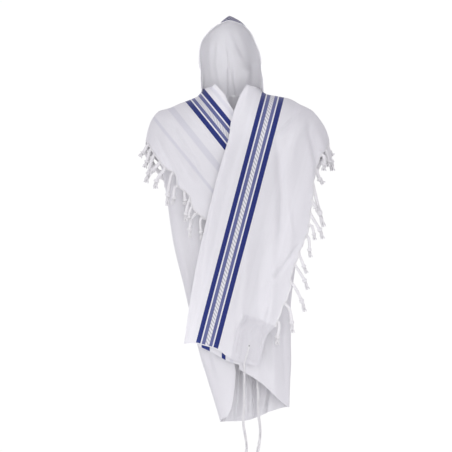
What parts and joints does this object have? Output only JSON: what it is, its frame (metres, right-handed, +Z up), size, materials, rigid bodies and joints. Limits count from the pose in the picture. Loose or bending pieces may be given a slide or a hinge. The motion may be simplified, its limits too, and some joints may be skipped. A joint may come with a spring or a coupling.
{
  "type": "tallit prayer shawl",
  "caption": "Large striped white wool prayer shawl as worn: drawn over the head, one fringed end crossed over the other, with knotted corner tassels.",
  "frame": {"origin": "the crown of the head that carries the shawl, inside the top of the hood", "axes": "+Z up, -Y towards the front, +X towards the wearer's left"},
  "size_m": [0.6633, 0.3198, 1.6077],
  "materials": {
    "white_wool": "matt white wool with woven dark blue, slate and white stripes",
    "woven_band": "woven neckband in slate blue and white",
    "white_twill": "white twill corner patches",
    "white_yarn": "twisted white wool yarn"
  },
  "bodies": {
    "root": {"hood": "white_wool", "neckband": "woven_band", "back_panel": "white_wool", "left_wrap": "white_wool", "right_wrap": "white_wool", "left_wing_front": "white_wool", "right_wing_front": "white_wool", "left_wing_back": "white_wool", "right_wing_back": "white_wool", "left_front_fringe": "white_yarn", "right_front_fringe": "white_yarn", "left_back_fringe": "white_yarn", "right_back_fringe": "white_yarn", "left_front_patch": "white_twill", "right_front_patch": "white_twill", "left_back_patch": "white_twill", "right_back_patch": "white_twill", "left_front_tzitzit": "white_yarn", "right_front_tzitzit": "white_yarn", "left_back_tzitzit": "white_yarn", "right_back_tzitzit": "white_yarn"}
  },
  "joints": []
}
